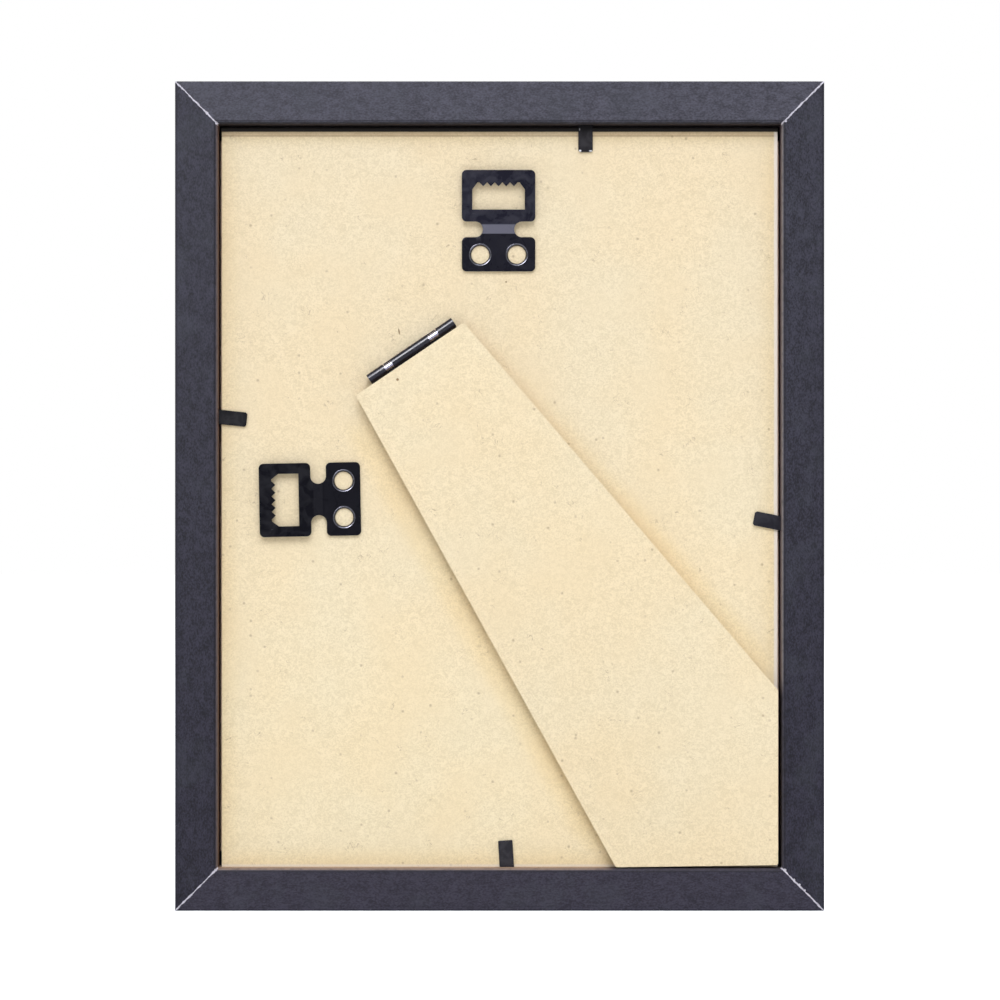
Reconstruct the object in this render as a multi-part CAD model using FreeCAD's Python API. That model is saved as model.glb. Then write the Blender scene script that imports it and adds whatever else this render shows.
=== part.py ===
import FreeCAD
import Part
import math
import os

os.makedirs("parts", exist_ok=True)

# Easel back photo frame for a 15 x 20 cm print, in millimetres and degrees.
# Every piece is drawn with the frame lying on its front: x to the right, y up the frame, z out of its back.
# stand_up() then turns it upright, so that X is right seen from behind, Z is up and the back faces -Y.
# The origin is at the middle of the bottom edge, half way through the depth.

# Moulding
frame_width = 180.0
frame_height = 230.0
frame_depth = 15.0
rail_width = 11.8
lip_overlap = 5.2
edge_radius = 0.6
rabbet_edge_radius = 1.1
lip_radius = 0.4
overrun = 1.0

# Layers in the rabbet
glass_thickness = 2.0
glass_gap = 0.3
glass_arris = 0.25
insert_thickness = 0.4
insert_side_gap = 2.0
insert_top_gap = 3.2
board_thickness = 2.5
board_side_gap = 0.85
board_top_gap = 1.8

# Hinge between board and leg
hinge_tilt = 34.1
hinge_side_share = -0.1566
hinge_height_share = 0.6954
pin_radius = 1.0
pin_play = 0.04
pin_chamfer = 0.15
hinge_sheet = 0.4
outer_knuckle_length = 5.35
middle_knuckle_length = 12.2
middle_knuckle_shift = -0.25
knuckle_gap = 2.75
barrel_air = 0.2
leaf_air = 0.7
roll_wrap = 270.0
base_ramp = 35.0
leg_ramp = 30.0
ramp_bend_radius = 0.5
lip_slit = 0.3
leaf_corner_radius = 1.5
base_leaf_length = 11.5
leg_leaf_length = 14.0
leg_leaf_width = 24.0
leg_leaf_shoulder = 0.5
prong_width = 2.4
prong_tip_width = 0.8
prong_point_length = 0.9
prong_length = 1.7
prong_first = 4.8
prong_spacing = 3.9
prong_fit = 0.05

# Easel leg
leg_thickness = 2.6
leg_sink = 0.3
leg_barrel_gap = 0.25
leg_top_left = 19.7
leg_top_right = 16.4
leg_side_gap = 1.0
leg_side_length = 48.4
leg_foot_length = 45.0
leg_foot_gap_left = 0.3
leg_foot_gap_right = 0.9
leg_corner_radius = 0.6

# Collars that hold the hangers to the board
collar_bore = 2.55
collar_wall = 0.4
collar_rim = 0.45
collar_flare = 0.35
collar_floor = 0.6
collar_fit = 0.05

# Hanger plate
hanger_sheet = 0.8
hanger_width = 20.4
hanger_base_height = 9.5
hanger_notch_height = 4.3
hanger_loop_height = 14.3
hanger_neck_width = 8.7
hanger_corner_radius = 1.3
hanger_rise = 1.2
hanger_bend_radius = 1.0
joggle_start = 10.2
joggle_length = 2.9
hanger_hole_spacing = 10.2
hanger_hole_height = 4.65
window_width = 14.6
window_height = 6.5
window_bar = 3.3
window_corner_width = 1.45
window_corner_height = 1.95
tooth_count = 5
tooth_pitch = 2.13
tooth_depth = 1.1
top_hanger_gap = 12.6
top_hanger_shift = -0.3
side_hanger_gap = 11.4
side_hanger_height_share = 0.4965
side_hanger_angle = 91.1

# Flexible tabs
tab_width = 4.0
tab_thickness = 0.4
tab_cover = 4.8
tab_point_length = 1.5
tab_point_width = 1.6
tab_chamfer = 0.7
tab_fit = 0.05
tab_air = 0.3
tab_bend_gap = 0.45
tab_reach_top = 8.2
tab_reach_left = 8.1
tab_reach_right = 7.7
tab_reach_bottom = 7.8
tab_top_share = 0.1528
tab_bottom_share = 0.0128
tab_left_share = 0.6068
tab_right_share = 0.4631
tab_tilt_top = 0.0
tab_tilt_left = -6.0
tab_tilt_right = -11.3
tab_tilt_bottom = 3.3

# Wedge nails inside the mitres
nail_leg_length = 4.5
nail_height = 7.0
nail_sheet = 0.4
nail_half_angle = 55.0
nail_bend_radius = 0.5
nail_fit = 0.08
nail_sink = 3.0
nail_apex_share = 0.85

# Levels, measured out of the back from half the frame's depth
knuckle_bore_radius = pin_radius + pin_play
knuckle_radius = knuckle_bore_radius + hinge_sheet
axis_height = hinge_sheet + barrel_air + knuckle_radius
leg_underside = hinge_sheet + leaf_air + hinge_sheet
recess_depth = leg_underside + leg_thickness + leg_sink
back_level = frame_depth / 2
front_level = -frame_depth / 2
board_level = back_level - recess_depth
insert_level = board_level - board_thickness
glass_level = insert_level - insert_thickness
lip_level = glass_level - glass_thickness

# Places in the plane of the board
rabbet_width = frame_width - 2 * rail_width
rabbet_height = frame_height - 2 * rail_width
rabbet_right = rabbet_width / 2
rabbet_top = frame_height - rail_width
hinge_x = hinge_side_share * rabbet_width
hinge_y = rail_width + hinge_height_share * rabbet_height
barrel_length = 2 * outer_knuckle_length + 2 * knuckle_gap + middle_knuckle_length
hanger_height = hanger_base_height + hanger_notch_height + hanger_loop_height
tab_embed = rail_width - tab_cover
nail_apex = nail_apex_share * rail_width
collar_depth = board_thickness - collar_floor
prong_rows = [prong_first, prong_first + prong_spacing]
barrel_side = knuckle_radius + leg_barrel_gap
hair = 1e-6

ORIGIN = FreeCAD.Vector(0, 0, 0)
X_AXIS = FreeCAD.Vector(1, 0, 0)
Y_AXIS = FreeCAD.Vector(0, 1, 0)
Z_AXIS = FreeCAD.Vector(0, 0, 1)
ALL_AXES = FreeCAD.Vector(1, 1, 1)
FULL_TURN = 360.0
HALF_TURN = 180.0
QUARTER_TURN = 90.0
THIRD_TURN = 120.0
MITRE_ANGLE = 45.0


def point(x, y):
    return FreeCAD.Vector(x, y, 0)


def corner_arc(before, here, after, radius):
    """Start, middle and end of the arc that rounds one corner of an outline."""
    to_before = (before - here).normalize()
    to_after = (after - here).normalize()
    half_angle = to_before.getAngle(to_after) / 2
    reach = radius / math.tan(half_angle)
    inwards = (to_before + to_after).normalize()
    middle = here + inwards * (radius / math.sin(half_angle) - radius)
    return here + to_before * reach, middle, here + to_after * reach


def outline(points, radii):
    """Flat face inside a closed outline whose corners are rounded by the radii given."""
    corners = []
    for i, here in enumerate(points):
        following = points[(i + 1) % len(points)]
        if radii[i] > 0:
            corners.append(corner_arc(points[i - 1], here, following, radii[i]))
        else:
            corners.append((here, here, here))
    edges = []
    for i, (start, middle, end) in enumerate(corners):
        if radii[i] > 0:
            edges.append(Part.Arc(start, middle, end).toShape())
        next_start = corners[(i + 1) % len(corners)][0]
        if not next_start.isEqual(end, hair):
            edges.append(Part.LineSegment(end, next_start).toShape())
    return Part.Face(Part.Wire(edges))


def plate(points, radii, low, thickness):
    """Flat plate of the outline given, from the height low upwards."""
    face = outline(points, radii)
    face.translate(Z_AXIS * low)
    return face.extrude(Z_AXIS * thickness)


def rabbet_sheet(width, height, low, thickness):
    """Plain sheet that stands on the bottom rail's rabbet, centred from side to side."""
    corners = [
        point(-width / 2, rail_width),
        point(width / 2, rail_width),
        point(width / 2, rail_width + height),
        point(-width / 2, rail_width + height),
    ]
    return plate(corners, [0] * len(corners), low, thickness)


def side_points(path, offset):
    """The path moved sideways by the offset, with its bends kept parallel."""
    shifted = []
    for i, here in enumerate(path):
        into = here - path[i - 1] if i > 0 else path[1] - here
        out = path[i + 1] - here if i + 1 < len(path) else into
        into.normalize()
        out.normalize()
        sideways = point(-into.y - out.y, into.x + out.x).normalize()
        shifted.append(here + sideways * (offset / sideways.dot(point(-into.y, into.x))))
    return shifted


def bent_strip(path, bend_radius, thickness):
    """Face of a sheet seen on edge, running along the path with the bend radius at each bend."""
    half = thickness / 2
    left_radii = [0]
    right_radii = [0]
    for i in range(1, len(path) - 1):
        into = path[i] - path[i - 1]
        out = path[i + 1] - path[i]
        turns_left = into.x * out.y - into.y * out.x > 0
        left_radii.append(bend_radius - half if turns_left else bend_radius + half)
        right_radii.append(bend_radius + half if turns_left else bend_radius - half)
    left_radii.append(0)
    right_radii.append(0)
    points = side_points(path, half) + side_points(path, -half)[::-1]
    return outline(points, left_radii + right_radii[::-1])


def extrude_along_x(face, length):
    """Extrude a face drawn as (y, z) along x, centred on x = 0."""
    solid = face.extrude(Z_AXIS * length)
    solid.translate(Z_AXIS * (-length / 2))
    solid.rotate(ORIGIN, ALL_AXES, THIRD_TURN)
    return solid


def extrude_along_y(face, length, middle=0.0):
    """Extrude a face drawn as (x, z) along y, centred on y = middle."""
    solid = face.extrude(Z_AXIS * length)
    solid.translate(Z_AXIS * (-length / 2))
    solid.rotate(ORIGIN, X_AXIS, QUARTER_TURN)
    solid.translate(Y_AXIS * middle)
    return solid


def revolve(face):
    """Turn a face drawn as (radius, z) about z."""
    face.rotate(ORIGIN, X_AXIS, QUARTER_TURN)
    return face.revolve(ORIGIN, Z_AXIS, FULL_TURN)


def joined(shapes):
    return shapes[0].multiFuse(shapes[1:]).removeSplitter()


def moved(shape, x, y, z, turn=0.0):
    """Copy of a shape turned about z, then moved."""
    result = shape.copy()
    result.rotate(ORIGIN, Z_AXIS, turn)
    result.translate(FreeCAD.Vector(x, y, z))
    return result


def stand_up(shape):
    result = shape.copy()
    result.rotate(ORIGIN, X_AXIS, QUARTER_TURN)
    return result


def write(node, solids):
    """Write one node, as a single solid or as a group of separate ones."""
    shapes = [stand_up(solid) for solid in solids]
    shape = shapes[0] if len(shapes) == 1 else Part.makeCompound(shapes)
    shape.exportStep(os.path.join("parts", node + ".step"))


# Hanger: one plate, with a base that lies on the board and a loop raised clear of it by a joggled neck.
# Two collars drawn down from the base are pressed into the board, where they widen with their depth.

hanger_holes = [(-hanger_hole_spacing / 2, hanger_hole_height), (hanger_hole_spacing / 2, hanger_hole_height)]


def hanger_outline():
    side = hanger_width / 2
    neck = hanger_neck_width / 2
    base = hanger_base_height
    loop = hanger_base_height + hanger_notch_height
    right_half = [
        point(side, 0),
        point(side, base),
        point(neck, base),
        point(neck, loop),
        point(side, loop),
        point(side, hanger_height),
    ]
    left_half = [point(-p.x, p.y) for p in reversed(right_half)]
    corner = hanger_corner_radius
    notch = hanger_notch_height / 2
    radii = [corner, corner, notch, notch, corner, corner]
    height = hanger_rise + hanger_sheet + 2 * overrun
    return plate(right_half + left_half, radii + radii, -overrun, height)


def hanger_window():
    """The opening in the loop: a row of teeth along its top edge, between two cut corners."""
    side = window_width / 2
    low = hanger_base_height + hanger_notch_height + window_bar
    high = low + window_height + tooth_depth
    points = [point(-side, low), point(side, low), point(side, high - window_corner_height)]
    points.append(point(side - window_corner_width, high))
    for i in range(tooth_count):
        valley = (tooth_count / 2 - i) * tooth_pitch
        points.append(point(valley, high))
        points.append(point(valley - tooth_pitch / 2, high - tooth_depth))
    points.append(point(-tooth_count / 2 * tooth_pitch, high))
    points.append(point(-side + window_corner_width, high))
    points.append(point(-side, high - window_corner_height))
    height = hanger_rise + hanger_sheet + 2 * overrun
    return plate(points, [0] * len(points), -overrun, height)


def collar():
    root = collar_bore + collar_wall + collar_rim
    points = [
        point(root, hanger_sheet),
        point(collar_bore + collar_rim, hanger_sheet),
        point(collar_bore, hanger_sheet - collar_rim),
        point(collar_bore + collar_flare, -collar_depth),
        point(collar_bore + collar_flare + collar_wall, -collar_depth),
        point(collar_bore + collar_wall, 0),
        point(root, 0),
    ]
    return revolve(outline(points, [0] * len(points)))


def collar_groove():
    """Ring cut in the board for one collar, which leaves a plug of board standing in its bore."""
    inner = collar_bore - collar_fit
    outer = collar_bore + collar_wall + collar_fit
    low = -collar_depth - collar_fit
    points = [
        point(inner, overrun),
        point(inner, 0),
        point(inner + collar_flare, low),
        point(outer + collar_flare, low),
        point(outer, 0),
        point(outer, overrun),
    ]
    return revolve(outline(points, [0] * len(points)))


def with_collars(plate_metal):
    """Cut a hole at each place and draw a collar down from its edge."""
    root = collar_bore + collar_wall + collar_rim
    for x, y in hanger_holes:
        hole = Part.makeCylinder(root, hanger_sheet + 2 * overrun, FreeCAD.Vector(x, y, -overrun))
        plate_metal = joined([plate_metal.cut(hole), moved(collar(), x, y, 0)])
    return plate_metal


def hanger():
    middle = hanger_sheet / 2
    path = [
        point(-overrun, middle),
        point(joggle_start, middle),
        point(joggle_start + joggle_length, middle + hanger_rise),
        point(hanger_height + overrun, middle + hanger_rise),
    ]
    sheet = extrude_along_x(bent_strip(path, hanger_bend_radius, hanger_sheet), hanger_width + 2 * overrun)
    formed = sheet.common(hanger_outline()).cut(hanger_window())
    return with_collars(formed)


top_hanger_place = (top_hanger_shift, rabbet_top - top_hanger_gap - hanger_height, board_level, 0.0)
side_hanger_place = (
    -rabbet_right + side_hanger_gap + hanger_height,
    rail_width + side_hanger_height_share * rabbet_height,
    board_level,
    side_hanger_angle,
)


# Hinge: x runs from the pin down the leg, y along the pin, and z up from the board.
# The outer knuckles of the base leaf hold the pin, and the leg's leaf turns on it between them.
# Each leaf is held by prongs that are turned down past its ends and pressed into the fibreboard.

hinge_place = (hinge_x, hinge_y, board_level, hinge_tilt - QUARTER_TURN)
lip_half_width = middle_knuckle_length / 2 + knuckle_gap - lip_slit


def polar(radius, angle):
    return point(radius * math.cos(math.radians(angle)), radius * math.sin(math.radians(angle)))


def ring_sector(inner, outer, start, wrap):
    """Face of a sheet rolled clockwise from the start angle through the wrap angle."""
    middle = start - wrap / 2
    end = start - wrap
    edges = [
        Part.Arc(polar(outer, start), polar(outer, middle), polar(outer, end)).toShape(),
        Part.LineSegment(polar(outer, end), polar(inner, end)).toShape(),
        Part.Arc(polar(inner, end), polar(inner, middle), polar(inner, start)).toShape(),
        Part.LineSegment(polar(inner, start), polar(outer, start)).toShape(),
    ]
    return Part.Face(Part.Wire(edges))


def ramp_path(leaf_level, ramp):
    """Where a leaf leaves the roll round the pin, and where its ramp meets the level of the leaf."""
    leave = polar(knuckle_radius - hinge_sheet / 2, ramp - QUARTER_TURN)
    level = leaf_level - axis_height
    settle = point(leave.x + (level - leave.y) / math.tan(math.radians(ramp)), level)
    return leave, settle


def leaf_start(leaf_level, ramp):
    """How far from the pin the flat of a leaf begins."""
    return ramp_path(leaf_level, ramp)[1].x + ramp_bend_radius


def knuckle(leaf_level, ramp, leaf_end, length, middle):
    """Strip of leaf that ramps to the barrel and rolls round the pin."""
    leave, settle = ramp_path(leaf_level, ramp)
    path = [leave, settle, point(leaf_end, settle.y)]
    strip = extrude_along_y(bent_strip(path, ramp_bend_radius, hinge_sheet), length, middle)
    sector = ring_sector(knuckle_bore_radius, knuckle_radius, ramp - QUARTER_TURN, roll_wrap)
    rolled = joined([strip, extrude_along_y(sector, length, middle)])
    return moved(rolled, 0, 0, axis_height)


def prong_profile(spare):
    half = prong_width / 2 + spare
    tip = prong_tip_width / 2 + spare
    low = -prong_length - spare
    shoulder = prong_point_length - prong_length
    points = [
        point(-half, overrun),
        point(-half, shoulder),
        point(-tip, low),
        point(tip, low),
        point(half, shoulder),
        point(half, overrun),
    ]
    return outline(points, [0] * len(points))


def prong_strips(half_length):
    """Strips across a leaf of this half length, with their ends turned down as pointed prongs."""
    edge = half_length + hinge_sheet / 2
    level = hinge_sheet / 2
    path = [point(-edge, -prong_length), point(-edge, level), point(edge, level), point(edge, -prong_length)]
    strip = extrude_along_x(bent_strip(path, hinge_sheet / 2, hinge_sheet), prong_width)
    pointed = strip.common(extrude_along_y(prong_profile(0), 2 * (edge + overrun)))
    return [moved(pointed, x, 0, 0) for x in prong_rows]


def prong_slots(half_length):
    edge = half_length + hinge_sheet / 2
    slot = extrude_along_y(prong_profile(prong_fit), hinge_sheet + 2 * prong_fit)
    slots = []
    for x in prong_rows:
        slots.append(moved(slot, x, -edge, 0))
        slots.append(moved(slot, x, edge, 0))
    return Part.makeCompound(slots)


def hinge_base_leaf():
    """Leaf on the board: two outer knuckles, and a flat lip between them under the barrel."""
    level = hinge_sheet / 2
    start = leaf_start(level, -base_ramp)
    half = barrel_length / 2
    right_half = [
        point(-knuckle_radius, -lip_half_width),
        point(start, -lip_half_width),
        point(start, -half),
        point(base_leaf_length, -half),
    ]
    left_half = [point(p.x, -p.y) for p in reversed(right_half)]
    radii = [0, 0, 0, leaf_corner_radius, leaf_corner_radius, 0, 0, 0]
    leaf = plate(right_half + left_half, radii, 0, hinge_sheet)
    offset = (barrel_length - outer_knuckle_length) / 2
    knuckles = []
    for side in (-1, 1):
        knuckles.append(knuckle(level, -base_ramp, start + hinge_sheet, outer_knuckle_length, side * offset))
    return joined([leaf] + knuckles + prong_strips(half))


def hinge_leg_leaf():
    """Leaf under the leg: one middle knuckle, and prongs turned up into the leg."""
    start = barrel_side + leg_leaf_shoulder
    half = leg_leaf_width / 2
    corners = [point(start, -half), point(leg_leaf_length, -half), point(leg_leaf_length, half), point(start, half)]
    leaf = plate(corners, [leaf_corner_radius] * len(corners), 0, hinge_sheet)
    leaf = joined([leaf] + prong_strips(half))
    leaf.rotate(ORIGIN, X_AXIS, HALF_TURN)
    leaf.translate(Z_AXIS * leg_underside)
    level = leg_underside - hinge_sheet / 2
    roll = knuckle(level, leg_ramp, start + hinge_sheet, middle_knuckle_length, middle_knuckle_shift)
    return joined([leaf, roll])


def hinge_pin():
    start = FreeCAD.Vector(0, -barrel_length / 2, axis_height)
    pin = Part.makeCylinder(pin_radius, barrel_length, start, Y_AXIS)
    return pin.makeChamfer(pin_chamfer, [pin.Edges[0], pin.Edges[2]])


# Easel leg: a five-sided blade that stands on the frame's bottom edge or on its right one.

def from_hinge(along, down):
    """Point that lies along the pin from the hinge's middle, and down the leg from it."""
    tilt = math.radians(hinge_tilt)
    x = hinge_x + along * math.cos(tilt) + down * math.sin(tilt)
    y = hinge_y + along * math.sin(tilt) - down * math.cos(tilt)
    return point(x, y)


def easel_leg():
    right = rabbet_right - leg_side_gap
    low = rail_width + leg_foot_gap_right
    corners = [
        from_hinge(-leg_top_left, barrel_side),
        from_hinge(leg_top_right, barrel_side),
        point(right, low + leg_side_length),
        point(right, low),
        point(right - leg_foot_length, rail_width + leg_foot_gap_left),
    ]
    radii = [leg_corner_radius] * len(corners)
    blade = plate(corners, radii, board_level + leg_underside, leg_thickness)
    slots = prong_slots(leg_leaf_width / 2)
    slots.rotate(ORIGIN, X_AXIS, HALF_TURN)
    slots.translate(Z_AXIS * leg_underside)
    return blade.cut(moved(slots, *hinge_place))


# Flexible tabs: steel strips driven into the rabbet wall, which bend up to let the board out.
# x runs from the wall into the opening, y along the wall, and z is half way through the strip.

tab_level = board_level + tab_air + tab_thickness / 2
tab_walls = {
    "top": (tab_top_share * rabbet_width, rabbet_top, tab_level, -QUARTER_TURN),
    "bottom": (tab_bottom_share * rabbet_width, rail_width, tab_level, QUARTER_TURN),
    "left": (-rabbet_right, rail_width + tab_left_share * rabbet_height, tab_level, 0.0),
    "right": (rabbet_right, rail_width + tab_right_share * rabbet_height, tab_level, HALF_TURN),
}
tab_reaches = {
    "top": tab_reach_top,
    "bottom": tab_reach_bottom,
    "left": tab_reach_left,
    "right": tab_reach_right,
}
tab_tilts = {
    "top": tab_tilt_top,
    "bottom": tab_tilt_bottom,
    "left": tab_tilt_left,
    "right": tab_tilt_right,
}


def on_strip(tilt, along, aside):
    """Point along a strip that leaves the wall at a tilt."""
    angle = math.radians(tilt)
    x = along * math.cos(angle) - aside * math.sin(angle)
    y = along * math.sin(angle) + aside * math.cos(angle)
    return point(x, y)


def across_strip(tilt, x, half_width):
    """The two points where a strip's edges cross a line parallel to the wall."""
    angle = math.radians(tilt)
    middle = x * math.tan(angle)
    reach = half_width / math.cos(angle)
    return point(x, middle - reach), point(x, middle + reach)


def tab_leaf(reach, tilt):
    """The part that lies over the board, with a rounded root to turn on."""
    half = tab_width / 2
    radius = tab_thickness / 2
    low, high = across_strip(tilt, tab_bend_gap, half)
    points = [
        low,
        on_strip(tilt, reach - tab_chamfer, -half),
        on_strip(tilt, reach, tab_chamfer - half),
        on_strip(tilt, reach, half - tab_chamfer),
        on_strip(tilt, reach - tab_chamfer, half),
        high,
    ]
    blade = plate(points, [0] * len(points), -radius, tab_thickness)
    root = Part.makeCylinder(radius, high.y - low.y, low, Y_AXIS)
    return joined([blade, root])


def tab_anchor(tilt, spare, mouth):
    """The pointed part inside the rail, grown by the spare for its slot, which opens past the wall."""
    half = tab_width / 2 + spare
    shoulder = tab_point_length - tab_embed
    tip = -tab_embed - spare
    tip_half = tab_point_width / 2 + spare
    low, high = across_strip(tilt, mouth, half)
    points = [
        high,
        on_strip(tilt, shoulder, half),
        on_strip(tilt, tip, tip_half),
        on_strip(tilt, tip, -tip_half),
        on_strip(tilt, shoulder, -half),
        low,
    ]
    return plate(points, [0] * len(points), -tab_thickness / 2 - spare, tab_thickness + 2 * spare)


# Wedge nails: bent strips of steel that tie the rails together inside each mitre.
# x runs along the mitre from the frame's outer corner.

frame_corners = [
    (-frame_width / 2, 0, 0, MITRE_ANGLE),
    (frame_width / 2, 0, 0, QUARTER_TURN + MITRE_ANGLE),
    (frame_width / 2, frame_height, 0, HALF_TURN + MITRE_ANGLE),
    (-frame_width / 2, frame_height, 0, -MITRE_ANGLE),
]


def wedge_nail(spare):
    """One nail, or the pocket for it where a spare is given."""
    reach = nail_leg_length + spare
    back = reach * math.cos(math.radians(nail_half_angle))
    aside = reach * math.sin(math.radians(nail_half_angle))
    path = [point(nail_apex - back, aside), point(nail_apex, 0), point(nail_apex - back, -aside)]
    face = bent_strip(path, nail_bend_radius, nail_sheet + 2 * spare)
    face.translate(Z_AXIS * (back_level - nail_sink - nail_height - spare))
    return face.extrude(Z_AXIS * (nail_height + 2 * spare))


# Moulding: an L-shaped section with its rabbet open to the back, mitred at both ends.

def rail(length):
    inner = rail_width + lip_overlap
    section = [
        point(0, back_level),
        point(rail_width, back_level),
        point(rail_width, lip_level),
        point(inner, lip_level),
        point(inner, front_level),
        point(0, front_level),
    ]
    radii = [edge_radius, rabbet_edge_radius, 0, lip_radius, edge_radius, edge_radius]
    bar = extrude_along_x(outline(section, radii), length)
    wide = length / 2 + overrun
    narrow = length / 2 - inner - overrun
    mitres = [
        point(-wide, -overrun),
        point(wide, -overrun),
        point(narrow, inner + overrun),
        point(-narrow, inner + overrun),
    ]
    cutter = plate(mitres, [0] * len(mitres), front_level - overrun, frame_depth + 2 * overrun)
    return bar.common(cutter)


rail_places = {
    "bottom": (frame_width, (0, 0, 0, 0.0)),
    "right": (frame_height, (frame_width / 2, frame_height / 2, 0, QUARTER_TURN)),
    "top": (frame_width, (0, frame_height, 0, HALF_TURN)),
    "left": (frame_height, (-frame_width / 2, frame_height / 2, 0, -QUARTER_TURN)),
}

nails = [moved(wedge_nail(0), *corner) for corner in frame_corners]
pockets = [moved(wedge_nail(nail_fit), *corner) for corner in frame_corners]
for side, (length, place) in rail_places.items():
    slot = moved(tab_anchor(tab_tilts[side], tab_fit, overrun), *tab_walls[side])
    write("rail_" + side, [moved(rail(length), *place).cut(Part.makeCompound(pockets + [slot]))])
write("corner_wedge_nails", nails)


# Layers in the rabbet, from the front: glass, photo insert and backing board.

def glass_pane():
    width = rabbet_width - 2 * glass_gap
    height = rabbet_height - glass_gap
    pane = rabbet_sheet(width, height, lip_level, glass_thickness)
    return pane.makeChamfer(glass_arris, pane.Edges)


def photo_insert():
    width = rabbet_width - 2 * insert_side_gap
    height = rabbet_height - insert_top_gap
    return rabbet_sheet(width, height, glass_level, insert_thickness)


def backing_board():
    width = rabbet_width - 2 * board_side_gap
    height = rabbet_height - board_top_gap
    sheet = rabbet_sheet(width, height, insert_level, board_thickness)
    rings = Part.makeCompound([moved(collar_groove(), x, y, 0) for x, y in hanger_holes])
    cuts = [
        moved(rings, *top_hanger_place),
        moved(rings, *side_hanger_place),
        moved(prong_slots(barrel_length / 2), *hinge_place),
    ]
    return sheet.cut(Part.makeCompound(cuts))


write("glass_pane", [glass_pane()])
write("photo_insert", [photo_insert()])
write("backing_board", [backing_board()])

write("hanger_top", [moved(hanger(), *top_hanger_place)])
write("hanger_side", [moved(hanger(), *side_hanger_place)])

write("hinge_base_leaf", [moved(hinge_base_leaf(), *hinge_place)])
write("hinge_leg_leaf", [moved(hinge_leg_leaf(), *hinge_place)])
write("hinge_pin", [moved(hinge_pin(), *hinge_place)])
write("easel_leg", [easel_leg()])

for side, wall in tab_walls.items():
    write("tab_" + side + "_anchor", [moved(tab_anchor(tab_tilts[side], 0, 0), *wall)])
    write("tab_" + side + "_leaf", [moved(tab_leaf(tab_reaches[side], tab_tilts[side]), *wall)])
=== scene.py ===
import bmesh
import bpy
import math
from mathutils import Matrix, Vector


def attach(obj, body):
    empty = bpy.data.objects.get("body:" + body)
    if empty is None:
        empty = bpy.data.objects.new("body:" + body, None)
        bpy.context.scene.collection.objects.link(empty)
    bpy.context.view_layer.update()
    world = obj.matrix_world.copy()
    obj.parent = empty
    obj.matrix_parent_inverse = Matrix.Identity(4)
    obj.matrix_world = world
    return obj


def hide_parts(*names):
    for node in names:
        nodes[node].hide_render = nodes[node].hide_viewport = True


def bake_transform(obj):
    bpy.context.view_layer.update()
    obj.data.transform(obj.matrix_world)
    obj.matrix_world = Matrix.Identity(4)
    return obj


# Finishes, tabs, light and camera for the easel back photo frame, seen from behind.
# Everything is in metres: X to the right seen from behind, Z up, and the back faces -Y.

MM = 0.001

# Sizes that follow the solids
FRAME_WIDTH = 180 * MM
FRAME_HEIGHT = 230 * MM
RAIL_WIDTH = 11.8 * MM
RAIL_EDGE_LEVEL = -6.6 * MM
LIP_LEVEL = 1.8 * MM
RABBET_SIDE = 78.2 * MM
RABBET_FOOT = 11.8 * MM
RABBET_TOP = 218.2 * MM
HANGER_LOOP_LEVEL = -5.1 * MM
HANGER_BASE_LEVEL = -3.9 * MM

# Tabs: strips 4 mm wide that leave the rail at their own tilt
TAB_WIDTH = 4.0 * MM
TAB_THICKNESS = 0.4 * MM
TAB_LEVEL = -3.6 * MM
TAB_EMBED = 7.0 * MM
TAB_POINT = 1.5 * MM
TAB_POINT_HALF_WIDTH = 0.8 * MM
TAB_EDGE = 0.09 * MM
TAB_BEND_GAP = 0.45 * MM
TAB_BEND_LENGTH = 0.9 * MM
TAB_STEP = 0.15 * MM
TAB_CLOSE_START = -0.9 * MM
TAB_CLOSE_LENGTH = 2.4 * MM
TAB_STRAIGHT = 3.0 * MM

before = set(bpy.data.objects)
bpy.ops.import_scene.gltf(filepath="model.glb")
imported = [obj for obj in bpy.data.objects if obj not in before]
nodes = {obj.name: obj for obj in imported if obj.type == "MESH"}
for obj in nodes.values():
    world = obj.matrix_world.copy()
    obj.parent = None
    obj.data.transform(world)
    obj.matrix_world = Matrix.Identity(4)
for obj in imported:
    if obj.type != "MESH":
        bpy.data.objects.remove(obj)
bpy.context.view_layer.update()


def linear(value):
    share = value / 255
    return share / 12.92 if share <= 0.04045 else ((share + 0.055) / 1.055) ** 2.4


def colour(red, green, blue):
    return (linear(red), linear(green), linear(blue), 1.0)


def scaled(face, factors):
    """A colour with each channel times its factor, and no channel above one."""
    return tuple(min(1.0, channel * factor) for channel, factor in zip(face, factors)) + (1.0,)


# Shader trees

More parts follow.
